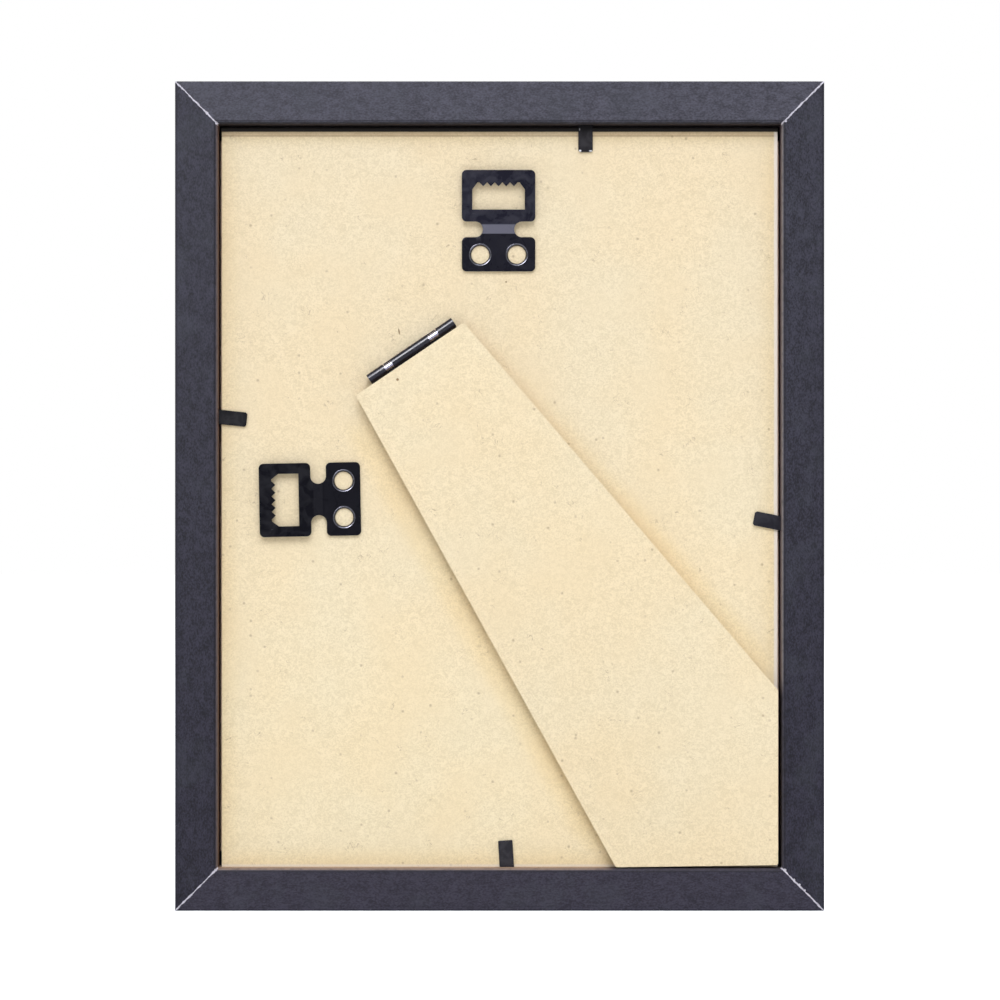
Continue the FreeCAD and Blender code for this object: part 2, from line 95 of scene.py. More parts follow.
class Shader:
    """A material and its node tree, with a short call for each kind of node.

    Places are in the object's own space, in metres, and noise scales are per metre."""

    def __init__(self, name):
        self.material = bpy.data.materials.new(name)
        self.material.use_nodes = True
        self.tree = self.material.node_tree
        self.surface = self.tree.nodes["Principled BSDF"]
        self.places = self.add("ShaderNodeTexCoord")
        self.at = self.places.outputs["Object"]

    def put(self, socket, value):
        if isinstance(value, bpy.types.NodeSocket):
            self.tree.links.new(value, socket)
        else:
            socket.default_value = value

    def add(self, kind, **inputs):
        made = self.tree.nodes.new(kind)
        for name, value in inputs.items():
            self.put(made.inputs[name.replace("_", " ")], value)
        return made

    def set(self, **inputs):
        for name, value in inputs.items():
            self.put(self.surface.inputs[name.replace("_", " ")], value)

    def math(self, operation, first, second=0.0):
        made = self.tree.nodes.new("ShaderNodeMath")
        made.operation = operation
        self.put(made.inputs[0], first)
        self.put(made.inputs[1], second)
        return made.outputs[0]

    def split(self, vector):
        return self.add("ShaderNodeSeparateXYZ", Vector=vector).outputs

    def apart(self, first, second):
        """Distance between two values."""
        return self.math("ABSOLUTE", self.math("SUBTRACT", first, second))

    def facing(self):
        """One where the surface faces straight back or straight to the front, zero on its sides."""
        return self.math("ABSOLUTE", self.split(self.places.outputs["Normal"])[1])

    def stretched(self, x, y, z):
        """Places with each axis times its factor, so that a pattern grows long where the factor is small."""
        made = self.add("ShaderNodeVectorMath")
        made.operation = "MULTIPLY"
        self.put(made.inputs[0], self.at)
        made.inputs[1].default_value = (x, y, z)
        return made.outputs[0]

    def noise(self, scale, detail=2.0, roughness=0.5, distortion=0.0, at=None):
        made = self.add("ShaderNodeTexNoise", Vector=at or self.at, Scale=scale, Detail=detail,
                        Roughness=roughness, Distortion=distortion)
        return made.outputs["Fac"]

    def cells(self, scale):
        """Distance to the nearest of scattered points, and a draw of its own for each point."""
        made = self.add("ShaderNodeTexVoronoi", Vector=self.at, Scale=scale)
        draw = self.split(made.outputs["Color"])
        return made.outputs["Distance"], draw[0]

    def ramp(self, value, low, high, start=0.0, end=1.0):
        """Smooth rise from start to end while the value goes from low to high."""
        made = self.tree.nodes.new("ShaderNodeMapRange")
        made.interpolation_type = "SMOOTHSTEP"
        for name, given in (("Value", value), ("From Min", low), ("From Max", high),
                            ("To Min", start), ("To Max", end)):
            self.put(made.inputs[name], given)
        return made.outputs[0]

    def fall(self, value, low, high):
        """Smooth fall from one to zero while the value goes from low to high."""
        return self.ramp(value, low, high, 1.0, 0.0)

    def weigh(self, first, share, second, other):
        """Sum of two values, each times its share."""
        return self.math("ADD", self.math("MULTIPLY", first, share), self.math("MULTIPLY", second, other))

    def wander(self, scale, swing):
        """Noise on both sides of zero, with its full swing given."""
        return self.math("MULTIPLY", self.math("SUBTRACT", self.noise(scale), 0.5), swing)

    def mix(self, share, first, second):
        made = self.tree.nodes.new("ShaderNodeMix")
        made.data_type = "RGBA"
        self.put(made.inputs[0], share)
        self.put(made.inputs[6], first)
        self.put(made.inputs[7], second)
        return made.outputs[2]

    def tint(self, base, share, factor):
        """Multiply a colour by a factor in each channel, by the given share."""
        made = self.tree.nodes.new("ShaderNodeMix")
        made.data_type = "RGBA"
        made.blend_type = "MULTIPLY"
        self.put(made.inputs[0], share)
        self.put(made.inputs[6], base)
        self.put(made.inputs[7], factor)
        return made.outputs[2]

    def bump(self, height, distance, strength):
        made = self.add("ShaderNodeBump", Strength=strength, Distance=distance, Height=height)
        self.set(Normal=made.outputs[0])


def highest(shader, values):
    """Largest of several values."""
    result = values[0]
    for value in values[1:]:
        result = shader.math("MAXIMUM", result, value)
    return result


# Fibreboard

# Noise scales
FIBRE_GRAIN = 2200
FIBRE_MOTTLE = 800
FIBRE_CLOUD = 60
FIBRE_BLUSH = 27
THREAD_CURVES = 330
THREAD_PLACES = 210
SPECK_PLACES = 520
SAWN_LAYERS = 900

# Factors on the sheet's colour, then plain colours
FIBRE_PALE = (1.045, 1.045, 1.045)
FIBRE_DULL = (0.90, 0.885, 0.84)
FIBRE_WARM = (0.985, 0.965, 0.93)
COOL_TINT = (0.993, 1.008, 1.028, 1)
WARM_TINT = (1.007, 0.992, 0.972, 1)
MARK_COLOUR = colour(150, 122, 84)
BEVEL_HIGHLIGHT_COLOUR = colour(255, 250, 236)
SAWN_COLOURS = (colour(176, 140, 96), colour(216, 186, 142))

# Sizes of the marks, in the units of their pattern, and the draws that give a point its speck
THREAD_HALF_WIDTH = (0.003, 0.013)
SPECK_RADIUS = (0.06, 0.30)
SPECK_DRAW = (0.935, 0.960)

# Where a spot starts to fade and where it ends, as shares of its half width and half height
SPOT_CORE = 0.5
SPOT_EDGE = 1.3

FIBRE_ROUGHNESS = (0.78, 0.92)
FIBRE_SPECULAR = 0.18
FIBRE_RELIEF = 0.05 * MM


def spot(shader, x, z, half_width, half_height, turn):
    """Soft oval mark on the back of a sheet, its size and place in millimetres."""
    px, _, pz = shader.split(shader.at)
    dx = shader.math("SUBTRACT", px, x * MM)
    dz = shader.math("SUBTRACT", pz, z * MM)
    cosine, sine = math.cos(math.radians(turn)), math.sin(math.radians(turn))
    along = shader.weigh(dx, cosine, dz, sine)
    across = shader.math("SUBTRACT", shader.math("MULTIPLY", dz, cosine), shader.math("MULTIPLY", dx, sine))
    along = shader.math("DIVIDE", along, half_width * MM)
    across = shader.math("DIVIDE", across, half_height * MM)
    square = shader.weigh(along, along, across, across)
    return shader.fall(shader.math("SQRT", square), SPOT_CORE, SPOT_EDGE)


# Painted light: the board's colour changes from foot to top over these heights, brightened at its foot, to
# even out the lamp's falloff.
BOARD_LIGHT_RISE = (20 * MM, 200 * MM)
BOARD_TOP_LIGHT_TINT = (0.975, 0.99, 1.01, 1)
BOARD_FOOT_LIGHT_TINT = (1.04, 1.07, 1.085, 1)
# Warm tint of the painted shade along the board's margins and on both sides of the leg.
WARM_SHADE_TINT = (1.0, 0.97, 0.89, 1)

# Lines that the margins are measured from, 0.2 mm inside the rabbet's walls
MARGIN_SIDE = 78.0 * MM
MARGIN_FOOT = 12.0 * MM
MARGIN_TOP = 218.0 * MM
MARGIN_FALL = (0.5 * MM, 7.0 * MM)

# Noise scale and swing of the uneven edges, then the top rail's painted shadow on the board's top edge with a
# darker line in it, and the painted highlight on the right and lower edges
UNEVEN_EDGE = 180
UNEVEN_SWING = 0.8 * MM
TOP_SHADOW_RISE = (214.6 * MM, 216.4 * MM)
TOP_SHADOW_COLOUR = colour(150, 118, 90)
TOP_DARK_LINE = 215.25 * MM
TOP_DARK_LINE_HALF_WIDTH = (0.12 * MM, 0.40 * MM)
TOP_DARK_LINE_COLOUR = colour(140, 106, 78)
RIGHT_EDGE_HIGHLIGHT = (76.15 * MM, 76.60 * MM)
FOOT_EDGE_HIGHLIGHT = (12.2 * MM, 12.8 * MM)
EDGE_HIGHLIGHT_COLOUR = colour(244, 236, 228)

# The leg's long sides at rest, in millimetres: start, end, and the length over which the band of painted
# shade fades
LEG_SIDES = (((-42.2, 138.2), (30.0, 12.0), 8.0), ((78.4, 62.3), (-13.6, 166.3), 90.0))
LEG_BAND_OUTSIDE = (-6.0 * MM, -0.5 * MM)
LEG_BAND_UNDER = (1.5 * MM, 7.0 * MM)
LEG_BAND_START = 8.0 * MM


def shade_beside_leg(shader, x, z, start, end, fading):
    """Band of painted warm shade on the board along one side of the leg, gone 6 to 7 mm away and fading
    towards its end.
    """
    length = math.dist(start, end)
    side_x, side_z = (end[0] - start[0]) / length, (end[1] - start[1]) / length
    dx = shader.math("SUBTRACT", x, start[0] * MM)
    dz = shader.math("SUBTRACT", z, start[1] * MM)
    inwards = shader.weigh(dx, -side_z, dz, side_x)
    along = shader.weigh(dx, side_x, dz, side_z)
    band = shader.math("MULTIPLY", shader.ramp(inwards, *LEG_BAND_OUTSIDE),
                       shader.fall(inwards, *LEG_BAND_UNDER))
    ends = shader.math("MULTIPLY", shader.ramp(along, 0.0, LEG_BAND_START),
                       shader.fall(along, (length - fading) * MM, length * MM))
    return shader.math("MULTIPLY", band, ends)


def margins(shader, base):
    """Margins of the backing board: painted warm shade all round and on both sides of the leg, a painted
    shadow of the top rail on its top edge with a darker brown line in it, and a painted highlight along its
    right and lower edges, over painted light that brightens the foot and shifts its tone towards the top."""
    x, _, z = shader.split(shader.at)
    # Painted light: brightened at the foot, its tone changing towards the top.
    base = shader.mix(shader.ramp(z, *BOARD_LIGHT_RISE), shader.tint(base, 1.0, BOARD_FOOT_LIGHT_TINT),
                      shader.tint(base, 1.0, BOARD_TOP_LIGHT_TINT))
    # Painted warm shade along the rabbet's walls and on both sides of the leg.
    across = shader.math("SUBTRACT", MARGIN_SIDE, shader.math("ABSOLUTE", x))
    inside = shader.math("MINIMUM", across, shader.math("SUBTRACT", z, MARGIN_FOOT))
    inside = shader.math("MINIMUM", inside, shader.math("SUBTRACT", MARGIN_TOP, z))
    shade_near_wall = shader.fall(inside, *MARGIN_FALL)
    bands = [shade_near_wall] + [shade_beside_leg(shader, x, z, *side) for side in LEG_SIDES]
    base = shader.tint(base, highest(shader, bands), WARM_SHADE_TINT)
    uneven = shader.wander(UNEVEN_EDGE, UNEVEN_SWING)
    # Painted shadow of the top rail on the board's top edge, with a darker brown line just below the edge.
    height = shader.math("ADD", z, uneven)
    base = shader.mix(shader.ramp(height, *TOP_SHADOW_RISE, 0.0, 0.45), base, TOP_SHADOW_COLOUR)
    away = shader.apart(z, TOP_DARK_LINE)
    base = shader.mix(shader.ramp(away, *TOP_DARK_LINE_HALF_WIDTH, 0.35, 0.0), base, TOP_DARK_LINE_COLOUR)
    # Painted highlight along the board's right and lower edges.
    right = shader.ramp(shader.math("ADD", x, shader.math("MULTIPLY", uneven, 0.4)), *RIGHT_EDGE_HIGHLIGHT)
    foot = shader.fall(z, *FOOT_EDGE_HIGHLIGHT)
    pale = shader.math("MAXIMUM", right, shader.math("MULTIPLY", foot, 0.7))
    return shader.mix(shader.math("MULTIPLY", pale, 0.75), base, EDGE_HIGHLIGHT_COLOUR)


def fibreboard(name, face, spots, finish_margins=None):
    """Pale pressed fibre: fine grain, cloudy mottling, stray dark fibres and browner sawn edges, with a
    painted highlight on the bevels of its broken edges.
    """
    shader = Shader(name)
    grain = shader.noise(FIBRE_GRAIN, 3.0, 0.6)
    mottle = shader.noise(FIBRE_MOTTLE, 3.0, 0.55, 1.5, shader.stretched(0.8, 1, 1))
    cloud = shader.noise(FIBRE_CLOUD, 2.0, 0.5)
    tone = shader.weigh(grain, 0.5, mottle, 0.5)
    base = shader.mix(shader.ramp(tone, 0.38, 0.62), scaled(face, FIBRE_DULL), scaled(face, FIBRE_PALE))
    base = shader.mix(shader.ramp(cloud, 0.48, 0.66, 0.0, 0.4), base, scaled(face, FIBRE_WARM))
    blush = shader.ramp(shader.noise(FIBRE_BLUSH, 2.0, 0.5), 0.36, 0.64)
    base = shader.tint(base, 1.0, shader.mix(blush, COOL_TINT, WARM_TINT))

    thread = shader.apart(shader.noise(THREAD_CURVES, 2.0, 0.5, 1.2), 0.5)
    seen = shader.ramp(shader.noise(THREAD_PLACES, 1.0), 0.63, 0.70)
    threads = shader.math("MULTIPLY", shader.ramp(thread, *THREAD_HALF_WIDTH, 0.40, 0.0), seen)
    distance, draw = shader.cells(SPECK_PLACES)
    rare = shader.ramp(draw, *SPECK_DRAW)
    specks = shader.math("MULTIPLY", shader.ramp(distance, *SPECK_RADIUS, 0.46, 0.0), rare)
    marks = shader.math("MAXIMUM", threads, specks)
    marks = highest(shader, [marks] + [spot(shader, *values) for values in spots])
    base = shader.mix(marks, base, MARK_COLOUR)

    facing = shader.facing()
    if finish_margins:
        base = finish_margins(shader, base)
    # Painted highlight: the bevels of the broken edges are lightened towards near white.
    rim = shader.math("MULTIPLY", shader.ramp(facing, 0.45, 0.60), shader.fall(facing, 0.90, 0.98))
    base = shader.mix(shader.math("MULTIPLY", rim, 0.85), base, BEVEL_HIGHLIGHT_COLOUR)
    side = shader.fall(facing, 0.30, 0.55)
    layers = shader.noise(SAWN_LAYERS, 3.0, 0.6, 0.0, shader.stretched(0.5, 2.4, 0.5))
    sawn = shader.mix(shader.ramp(layers, 0.35, 0.65), *SAWN_COLOURS)
    base = shader.mix(shader.math("MULTIPLY", side, 0.75), base, sawn)
    shader.set(Base_Color=base, Roughness=shader.ramp(grain, 0.3, 0.7, *FIBRE_ROUGHNESS))
    shader.set(Specular_IOR_Level=FIBRE_SPECULAR)
    shader.bump(shader.weigh(mottle, 0.6, grain, 0.4), FIBRE_RELIEF, 0.6)
    return shader.material


# Moulding: charcoal paper wrap with its white core showing along the mitres

# Noise scales
WRAP_FIBRE = 2500
WRAP_MOTTLE = 620
WRAP_CLOUD = 95
RUB_PATCHES = 420
CORE_GRAIN = 900
MITRE_WANDER = 300
MITRE_WIDTH = 650
CHIP_RAGGED = 1600

# Directions in which the wrap's fibres run, and axes
ALONG_X = (0.6, 1, 1)
ALONG_Z = (1, 1, 0.6)
X_AXIS, Z_AXIS = 0, 2

# How far the edges of chips and mitre lines swing, and how wide a mitre line is
CHIP_SWING = 0.5 * MM
MITRE_SWING = 0.5 * MM
MITRE_LINE = (0.15 * MM, 0.46 * MM)

# Painted light: the heights over which the side rails' tones rise from foot to top.
WRAP_LIGHT_RISE = (20 * MM, 215 * MM)
CLOUD_COLOUR = colour(70, 74, 82)
LEG_SHADE_WALL_COLOUR = colour(24, 20, 19)
OUTER_EDGE_SHADE_COLOUR = colour(22, 21, 34)
SHADE_LINE_COLOUR = colour(16, 15, 20)
CORE_COLOURS = (colour(150, 148, 162), colour(240, 238, 250))
WRAP_ROUGHNESS = (0.52, 0.72)
WRAP_SPECULAR = 0.12
WRAP_RELIEF = 0.04 * MM

# Where parts of the profile lie: distances inwards from the outer edge, places on X, then levels on Y
RUB_AND_LIGHT_RIM = (RAIL_WIDTH - 0.60 * MM, RAIL_WIDTH - 0.30 * MM)
SHADE_LINE_INSET = RAIL_WIDTH - 0.85 * MM
SHADE_LINE_HALF_WIDTH = (0.10 * MM, 0.30 * MM)
RABBET_WALL = (RAIL_WIDTH - 0.10 * MM, RAIL_WIDTH - 0.04 * MM)
INSIDE_WALL = (RAIL_WIDTH - 0.05 * MM, RAIL_WIDTH)
OUTER_EDGE = (FRAME_WIDTH / 2 - 0.9 * MM, FRAME_WIDTH / 2 - 0.5 * MM)
RIM_LEVELS = (RAIL_EDGE_LEVEL, RAIL_EDGE_LEVEL + 0.5 * MM)
WALL_START_LEVELS = (RAIL_EDGE_LEVEL + 0.2 * MM, RAIL_EDGE_LEVEL + 0.5 * MM)
WALL_END_LEVELS = (LIP_LEVEL - 0.2 * MM, LIP_LEVEL)
CORE_HIDDEN_LEVELS = (RAIL_EDGE_LEVEL, RAIL_EDGE_LEVEL + 1.5 * MM)

# Chips beside the mitres: place and radius in millimetres
CHIPS = (
    (-81.1, 221.1, 0.50), (-78.5, 218.3, 0.40), (79.3, 218.9, 0.45), (-78.7, 11.3, 0.50), (-79.4, 10.7, 0.40),
    (79.0, 11.3, 0.60), (81.6, 8.6, 0.42), (83.1, 7.3, 0.42), (84.5, 5.7, 0.38),
)


def from_outside(shader, x, z):
    """Distances from the frame's outer edges: to the nearer side, and to the nearer of foot and top."""
    across = shader.math("SUBTRACT", FRAME_WIDTH / 2, shader.math("ABSOLUTE", x))
    return across, shader.math("MINIMUM", z, shader.math("SUBTRACT", FRAME_HEIGHT, z))


def mitre_share(shader, x, z):
    """Where the wrap's core shows: an uneven line along each mitre, and a few chips beside it."""
    across, up = from_outside(shader, x, z)
    wander = shader.wander(MITRE_WANDER, MITRE_SWING)
    away = shader.math("ABSOLUTE", shader.math("ADD", shader.math("SUBTRACT", across, up), wander))
    width = shader.ramp(shader.noise(MITRE_WIDTH, 2.0), 0.35, 0.70, *MITRE_LINE)
    line = shader.fall(away, shader.math("MULTIPLY", width, 0.55), shader.math("MULTIPLY", width, 1.25))
    ragged = shader.wander(CHIP_RAGGED, CHIP_SWING)
    marks = [line]
    for chip_x, chip_z, radius in CHIPS:
        dx = shader.math("SUBTRACT", x, chip_x * MM)
        dz = shader.math("SUBTRACT", z, chip_z * MM)
        square = shader.weigh(dx, dx, dz, dz)
        distance = shader.math("ADD", shader.math("SQRT", square), ragged)
        marks.append(shader.ramp(distance, radius * MM * 0.5, radius * MM, 0.9, 0.0))
    return highest(shader, marks)


def moulding(name, tones, along, contrast, rub_and_light, rub_and_light_colour, wall_colour, leg_shade=None):
    """Wrap whose fibres run along the rail, rubbed at its inner edge and given painted light there; tones are
    its colours at the foot and at the top, which differ as painted light.

    Beside the leg the inner edge and its wall take the leg's painted shade: the last argument is the axis
    that this goes by, the two places in millimetres between which it changes, and the share of the lit edge
    and wall kept before and after them."""
    shader = Shader(name)
    x, y, z = shader.split(shader.at)
    grained = shader.stretched(*along)
    fibre = shader.noise(WRAP_FIBRE, 3.0, 0.65, 0.0, grained)
    mottle = shader.noise(WRAP_MOTTLE, 3.0, 0.55, 0.3, grained)
    cloud = shader.noise(WRAP_CLOUD, 2.0, 0.5)
    # Painted light: tones rise from foot to top.
    base = shader.mix(shader.ramp(z, *WRAP_LIGHT_RISE), *tones)
    tone = shader.weigh(fibre, 0.68, mottle, 0.32)
    darker, lighter = (1 - contrast,) * 3 + (1,), (1 + contrast,) * 3 + (1,)
    base = shader.tint(base, 1.0, shader.mix(shader.ramp(tone, 0.34, 0.66), darker, lighter))
    base = shader.mix(shader.ramp(cloud, 0.50, 0.68, 0.0, 0.16), base, CLOUD_COLOUR)

    inner = shader.math("MINIMUM", *from_outside(shader, x, z))
    rim = shader.math("MULTIPLY", shader.ramp(inner, *RUB_AND_LIGHT_RIM), shader.fall(y, *RIM_LEVELS))
    wall_shade = colour(*wall_colour)
    # Painted shade of the leg: beside it the inner edge loses its lightening and the wall turns dark.
    if leg_shade:
        axis, low, high, before, after = leg_shade
        lift = shader.ramp((x, y, z)[axis], low * MM, high * MM, before, after)
        rim = shader.math("MULTIPLY", rim, lift)
        wall_shade = shader.mix(lift, LEG_SHADE_WALL_COLOUR, wall_shade)
    # Inner edge: rubbed in patches, lightened as painted highlight on the bottom and side rails and darkened
    # as painted shade on the top rail.
    patches = shader.ramp(shader.noise(RUB_PATCHES, 3.0), 0.30, 0.55, 0.6 * rub_and_light, rub_and_light)
    base = shader.mix(shader.math("MULTIPLY", rim, patches), base, colour(*rub_and_light_colour))
    # Painted shade on the outer rounding of the sides.
    outer = shader.ramp(shader.math("ABSOLUTE", x), *OUTER_EDGE)
    base = shader.mix(shader.math("MULTIPLY", outer, 0.5), base, OUTER_EDGE_SHADE_COLOUR)
    # Painted shade: a dark line where the inner rounding starts.
    shade_line_away = shader.apart(inner, SHADE_LINE_INSET)
    base = shader.mix(shader.ramp(shade_line_away, *SHADE_LINE_HALF_WIDTH, 0.5, 0.0), base, SHADE_LINE_COLOUR)
    # Rabbet walls: brown of bare wood, made lighter as painted light on the bottom and side walls and kept
    # dark as painted shade on the top wall, set per rail.
    wall = shader.math("MULTIPLY", shader.ramp(inner, *RABBET_WALL), shader.ramp(y, *WALL_START_LEVELS))
    wall = shader.math("MULTIPLY", wall, shader.fall(y, *WALL_END_LEVELS))
    base = shader.mix(wall, base, wall_shade)

    core = mitre_share(shader, x, z)
    hidden = shader.math("MULTIPLY", shader.ramp(inner, *INSIDE_WALL), shader.ramp(y, *CORE_HIDDEN_LEVELS))
    core = shader.math("MULTIPLY", core, shader.math("SUBTRACT", 1.0, hidden))
    bare = shader.mix(shader.noise(CORE_GRAIN, 3.0, 0.6), *CORE_COLOURS)
    shader.set(Base_Color=shader.mix(core, base, bare))
    shader.set(Roughness=shader.ramp(fibre, 0.3, 0.7, *WRAP_ROUGHNESS))
    shader.set(Specular_IOR_Level=WRAP_SPECULAR)
    height = shader.weigh(mottle, 0.5, fibre, 0.5)
    height = shader.math("ADD", height, shader.math("MULTIPLY", core, -0.8))
    shader.bump(height, WRAP_RELIEF, 0.6)
    return shader.material


# Metal, glass and paper

# Noise scales
ORANGE_PEEL = 1300
COATING_SMEARS = 260
COATING_SCUFFS = 1500
STEEL_LINES = 2600
GLASS_RIPPLE = 14
PAPER_PULP = 1400

# Coated and bare steel
ALONG_SCUFFS = (0.25, 1.0, 1.0)
SCUFF_COLOUR = colour(120, 120, 130)
COATING_DARK = (0.75, 0.75, 0.75)
COATING_RELIEF = 0.02 * MM
NECK_START_LEVELS = (HANGER_LOOP_LEVEL, HANGER_LOOP_LEVEL + 0.08 * MM)
NECK_END_LEVELS = (HANGER_BASE_LEVEL - 0.08 * MM, HANGER_BASE_LEVEL)
NECK_FACING = (0.75, 0.85)
FOOT_LEVELS = (HANGER_BASE_LEVEL - 0.2 * MM, HANGER_BASE_LEVEL - 0.1 * MM)
STEEL_RELIEF = 0.01 * MM

# Glass: covered are the distances from its middle at which the lip starts to hide it
GLASS_TINT = (0.99, 1.0, 0.995, 1)
GLASS_IOR = 1.5
GLASS_SPECULAR_TINT = (0.25, 0.25, 0.25, 1)
GLASS_ROUGHNESS = (0.0, 0.012)
GLASS_RELIEF = 0.05 * MM
COVERED_SIDES = (73.5 * MM, 74.5 * MM)
COVERED_ENDS = (98.5 * MM, 99.5 * MM)
# Painted light and shade seen through the gaps: pale brown on the covered sides, dark on the covered ends.
GAP_LIGHT_AND_SHADE_COLOURS = (colour(250, 214, 186), colour(50, 44, 42))

PAPER_COLOURS = (colour(232, 231, 226), colour(245, 244, 240))
PAPER_ROUGHNESS = (0.65, 0.85)
PAPER_RELIEF = 0.01 * MM


def coated_steel(name, face, roughness, specular, lift=0.010, neck=None, foot=None, marks=()):
    """Black coating on sheet steel, with faint orange peel and lighter scuffs.

    After specular come what the smears add to the coating's colour, the painted reflection on a hanger's
    sloped neck, and the colour of its lower plate. Marks are spots, each with a colour; on the top tab they
    are a painted shadow and painted glints."""
    shader = Shader(name)
    peel = shader.noise(ORANGE_PEEL, 2.0, 0.5)
    smear = shader.noise(COATING_SMEARS, 3.0, 0.6, 0.8)
    darker = scaled(face, COATING_DARK)
    lighter = tuple(channel + lift for channel in face[:3]) + (1.0,)
    base = shader.mix(shader.ramp(smear, 0.38, 0.66), darker, lighter)
    scuffs = shader.noise(COATING_SCUFFS, 3.0, 0.7, 0.0, shader.stretched(*ALONG_SCUFFS))
    base = shader.mix(shader.ramp(scuffs, 0.70, 0.78, 0.0, 0.25), base, SCUFF_COLOUR)
    # Painted reflection: the sloped neck of a hanger is lightened; its lower plate takes its own colour.
    if neck:
        y = shader.split(shader.at)[1]
        slope = shader.math("MULTIPLY", shader.ramp(y, *NECK_START_LEVELS), shader.fall(y, *NECK_END_LEVELS))
        slope = shader.math("MULTIPLY", slope, shader.ramp(shader.facing(), *NECK_FACING))
        base = shader.mix(slope, base, neck)
        base = shader.mix(shader.ramp(y, *FOOT_LEVELS), base, foot)
    # Marks: on the top tab, a painted shadow and painted glints.
    for place, shade in marks:
        base = shader.mix(spot(shader, *place), base, colour(*shade))
    shader.set(Base_Color=base, Roughness=shader.ramp(smear, 0.3, 0.7, roughness * 0.8, roughness * 1.25))
    shader.set(Specular_IOR_Level=specular)
    shader.bump(peel, COATING_RELIEF, 0.5)
    return shader.material


def bright_steel(name, roughness, dull, shiny):
    """Bare steel with fine uneven lines."""
    shader = Shader(name)
    lines = shader.noise(STEEL_LINES, 2.0, 0.6)
    base = shader.mix(shader.ramp(lines, 0.3, 0.7), colour(*dull), colour(*shiny))
    shader.set(Base_Color=base, Metallic=1.0,
               Roughness=shader.ramp(lines, 0.3, 0.7, roughness * 0.7, roughness * 1.4))
    shader.bump(lines, STEEL_RELIEF, 0.4)
    return shader.material


def clear_glass(name):
    """Clear pane, painted where the lip covers it: pale brown on its sides, the brown of bare wood lightened
    as painted light for the side gaps, and dark at its ends as painted shade for the gaps at top and foot.
    """
    shader = Shader(name)
    ripple = shader.noise(GLASS_RIPPLE, 1.0)
    x, _, z = shader.split(shader.at)
    sideways = shader.ramp(shader.math("ABSOLUTE", x), *COVERED_SIDES)
    ends = shader.ramp(shader.apart(z, FRAME_HEIGHT / 2), *COVERED_ENDS)
    covered = shader.math("MAXIMUM", sideways, ends)
    gap_light_and_shade = shader.mix(ends, *GAP_LIGHT_AND_SHADE_COLOURS)
    tint = shader.mix(covered, GLASS_TINT, gap_light_and_shade)
    shader.set(Base_Color=tint, Roughness=shader.ramp(ripple, 0.3, 0.7, *GLASS_ROUGHNESS))
    shader.set(Transmission_Weight=shader.math("SUBTRACT", 1.0, covered))
    shader.set(IOR=GLASS_IOR, Specular_Tint=GLASS_SPECULAR_TINT)
    shader.bump(ripple, GLASS_RELIEF, 0.05)
    return shader.material


def plain_paper(name):
    shader = Shader(name)
    pulp = shader.noise(PAPER_PULP, 3.0, 0.6)
    base = shader.mix(shader.ramp(pulp, 0.35, 0.65), *PAPER_COLOURS)
    shader.set(Base_Color=base, Roughness=shader.ramp(pulp, 0.3, 0.7, *PAPER_ROUGHNESS))
    shader.bump(pulp, PAPER_RELIEF, 0.3)
    return shader.material


# Finishes of the solids

# Spots: place, half width and half height in millimetres, and turn in degrees
BOARD_SPOTS = (
    (-28.0, 160.8, 0.22, 0.95, 10), (1.8, 174.6, 0.28, 0.24, 0),
)
LEG_SPOTS = (
    (-28.3, 147.3, 0.42, 0.42, 0),
)
# Rail tones at foot and top, all one black wrap: the top rail lighter and the side rails lighter towards the
# top, as painted light from the lamp above.
TOP_TONES = (colour(69, 69, 80), colour(69, 69, 80))
FOOT_TONES = (colour(54, 52, 65), colour(54, 52, 65))
SIDE_TONES = (colour(41, 40, 52), colour(48, 48, 59))
board_finish = fibreboard("board_fibre", colour(240, 223, 189), BOARD_SPOTS, margins)
leg_finish = fibreboard("leg_fibre", colour(240, 225, 192), LEG_SPOTS)
finishes = {
    # Per rail, the edge colour and the wall colour carry painted light and shade: lighter on the bottom and
    # side rails, darker on the top rail, over real rubbing and bare brown wood.
    "rail_top": moulding("wrap_top", TOP_TONES, ALONG_X, contrast=0.47, rub_and_light=0.80,
                         rub_and_light_colour=(30, 29, 32), wall_colour=(54, 48, 48)),
    "rail_bottom": moulding("wrap_bottom", FOOT_TONES, ALONG_X, contrast=0.38, rub_and_light=0.90,
                            rub_and_light_colour=(150, 132, 122), wall_colour=(170, 144, 122),
                            leg_shade=(X_AXIS, 27, 33, 1.0, 0.1)),
    "rail_left": moulding("wrap_left", SIDE_TONES, ALONG_Z, contrast=0.62, rub_and_light=0.80,
                          rub_and_light_colour=(104, 92, 92), wall_colour=(110, 86, 74)),
    "rail_right": moulding("wrap_right", SIDE_TONES, ALONG_Z, contrast=0.60, rub_and_light=0.85,
                           rub_and_light_colour=(130, 124, 126), wall_colour=(110, 96, 100),
                           leg_shade=(Z_AXIS, 59, 65, 0.2, 1.0)),
    "corner_wedge_nails": bright_steel("nail_finish", 0.40, (150, 150, 154), (190, 190, 194)),
    "glass_pane": clear_glass("glass_finish"),
    "photo_insert": plain_paper("insert_finish"),
    "backing_board": board_finish,
    "easel_leg": leg_finish,
    # The two hangers share one black coating: the side hanger's darker, less specular copy is painted shade,
    # and its neck a fainter painted reflection.
    "hanger_top": coated_steel("hanger_top_finish", colour(16, 16, 36), 0.30, 0.12, lift=0.014,
                               neck=colour(104, 105, 120), foot=colour(5, 5, 21)),
    "hanger_side": coated_steel("hanger_side_finish", colour(5, 5, 17), 0.30, 0.07, lift=0.009,
                                neck=colour(25, 25, 32), foot=colour(11, 11, 20)),
    "hinge_pin": bright_steel("pin_finish", 0.22, (113, 111, 126), (158, 156, 172)),
}
hinge_finish = coated_steel("hinge_finish", colour(12, 11, 30), 0.25, 0.29, lift=0.007)
finishes["hinge_base_leaf"] = hinge_finish
